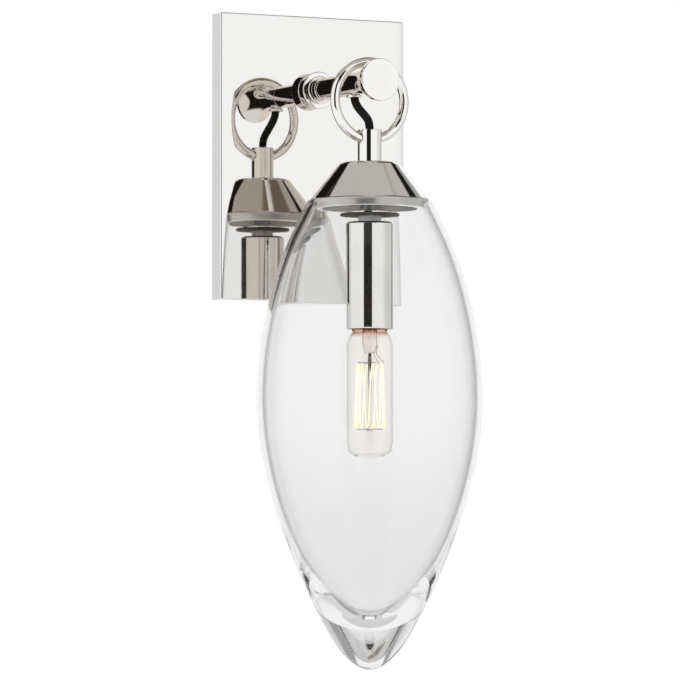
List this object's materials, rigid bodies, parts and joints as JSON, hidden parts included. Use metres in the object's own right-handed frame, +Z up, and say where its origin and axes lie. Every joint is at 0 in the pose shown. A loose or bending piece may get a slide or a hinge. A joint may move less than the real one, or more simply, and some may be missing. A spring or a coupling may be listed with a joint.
{
  "type": "wall sconce",
  "caption": "Wall sconce: rectangular back plate, short flared arm, and a clear seed-shaped glass pendant that hangs by its stem from a ring over the arm.",
  "frame": {"origin": "middle of the back plate's outline on the wall plane, which is the middle of the bracket's screw pattern", "axes": "+Z up, +Y into the wall, so the arm stands out along -Y; +X to the right for someone facing the wall"},
  "size_m": [0.1198, 0.1354, 0.3535],
  "materials": {
    "polished_nickel": "polished nickel plate, slightly warm",
    "zinc_steel": "zinc-plated steel",
    "green_screw": "green-dyed zinc plate",
    "black_braid": "woven cotton braid, matte black",
    "wire_insulation": "soft plastic insulation",
    "lampholder_plastic": "moulded phenolic, dark",
    "contact_brass": "plain brass",
    "lamp_base_metal": "lamp base metal",
    "lamp_insulator": "black glassy insulator",
    "lamp_glass": "thin clear glass",
    "filament_wire": "glowing tungsten",
    "support_wire": "drawn nickel wire",
    "shade_glass": "heavy clear blown glass",
    "neck_bond": "clear adhesive"
  },
  "bodies": {
    "root": {"backplate": "polished_nickel", "mounting_bracket": "zinc_steel", "plate_set_screws": "zinc_steel", "earth_screw": "green_screw", "arm_nipple": "zinc_steel", "arm_lock_washer": "zinc_steel", "arm_lock_nut": "zinc_steel", "arm_collar": "polished_nickel", "arm_tube": "polished_nickel", "arm_flare": "polished_nickel", "arm_end_cap": "polished_nickel", "flex_bushing": "polished_nickel", "pendant_flex": "black_braid", "arm_wires": "wire_insulation"},
    "ring": {"hanging_ring": "polished_nickel"},
    "pendant": {"stem_tube": "polished_nickel", "socket_wires": "wire_insulation", "shade_cap": "polished_nickel", "socket_nipple": "zinc_steel", "cap_lock_nut": "zinc_steel", "shield_washer": "polished_nickel", "shield_disc": "polished_nickel", "socket_nut": "zinc_steel", "socket_sleeve": "polished_nickel", "lampholder_body": "lampholder_plastic", "screw_shell": "contact_brass", "centre_contact": "contact_brass", "terminal_screws": "contact_brass"},
    "lamp": {"lamp_base": "lamp_base_metal", "lamp_base_insulator": "lamp_insulator", "lamp_tip_contact": "lamp_base_metal", "lamp_envelope": "lamp_glass", "lamp_mount": "lamp_glass", "lamp_filament": "filament_wire", "lamp_supports": "support_wire"},
    "shade": {"glass_shade": "shade_glass", "shade_collar": "polished_nickel", "neck_bond": "neck_bond"}
  },
  "joints": [
    {"name": "ring_swing", "type": "hinge", "parent": "root", "child": "ring", "pos_m": [0, -0.0755, 0.037], "axis": [0, 1, 0], "range_deg": [-20, 20], "deforming": ["pendant_flex"]},
    {"name": "pendant_rock", "type": "hinge", "parent": "ring", "child": "pendant", "pos_m": [0, -0.0755, 0.0058], "axis": [1, 0, 0], "range_deg": [-20, 4], "deforming": ["pendant_flex"]},
    {"name": "shade_lowering", "type": "slide", "parent": "pendant", "child": "shade", "axis": [0, 0, -1], "range_m": [0, 0.145]},
    {"name": "lamp_unscrewing", "type": "slide", "parent": "pendant", "child": "lamp", "axis": [0, 0, -1], "range_m": [0, 0.022]}
  ]
}
